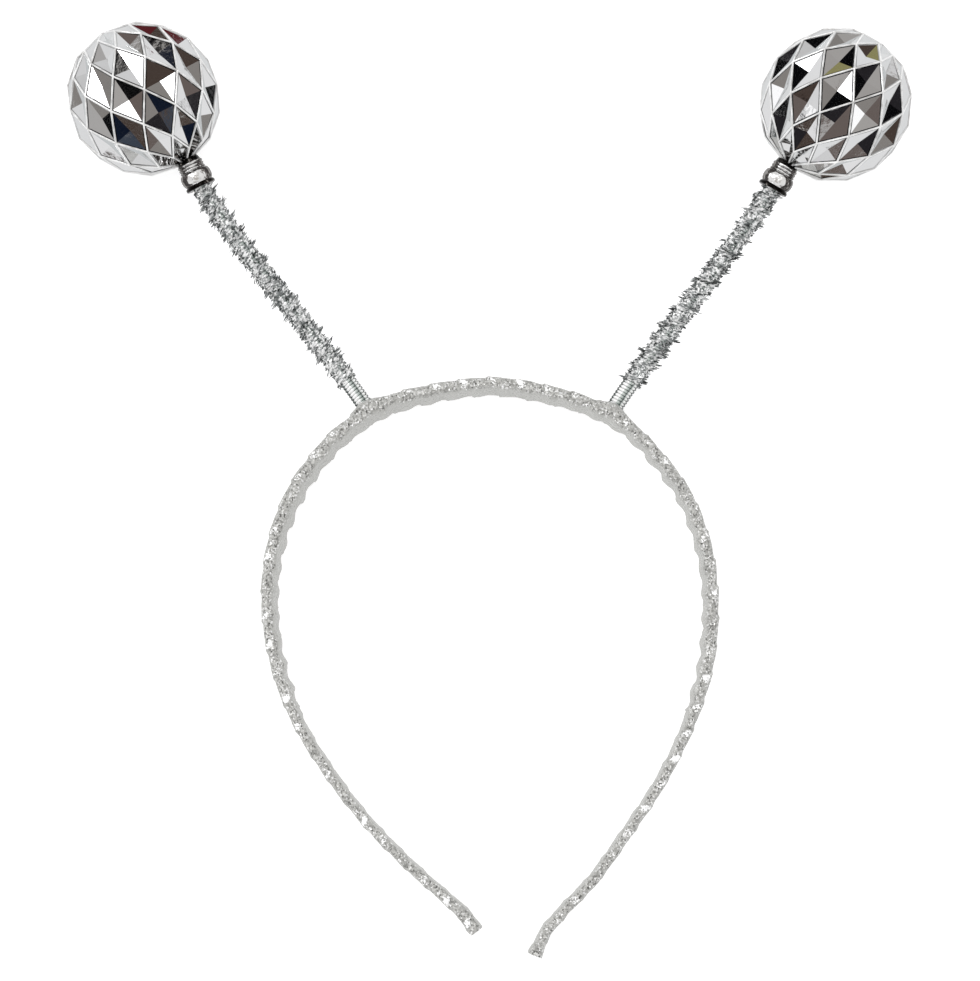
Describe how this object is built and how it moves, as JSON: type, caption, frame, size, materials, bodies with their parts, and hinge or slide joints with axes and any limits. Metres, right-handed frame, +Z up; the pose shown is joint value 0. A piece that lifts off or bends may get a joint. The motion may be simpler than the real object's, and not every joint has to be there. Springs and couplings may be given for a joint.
{
  "type": "head bopper",
  "caption": "Thin ribbon-wound headband whose tinsel-covered springs each hold up a faceted mirror-finish ball on a chrome cap.",
  "frame": {"origin": "under the middle of the whole piece's box, on the surface that it lies on", "axes": "+Y from the band's tips to its crown and on to the balls, +X to the wearer's left as the piece lies, +Z up from the surface"},
  "size_m": [0.2208, 0.242, 0.0397],
  "materials": {
    "ribbon": "woven silver lame ribbon with glitter, semi-matt between sparkles",
    "spring": "bright nickel-plated spring wire",
    "tinsel": "shiny slit metallised foil",
    "cap": "bright chrome plate",
    "ball": "vacuum-metallised mirror finish on moulded plastic"
  },
  "bodies": {
    "root": {"headband": "ribbon", "spring_left": "spring", "tinsel_left": "tinsel", "cap_left": "cap", "ball_left": "ball", "spring_right": "spring", "tinsel_right": "tinsel", "cap_right": "cap", "ball_right": "ball"}
  },
  "joints": []
}
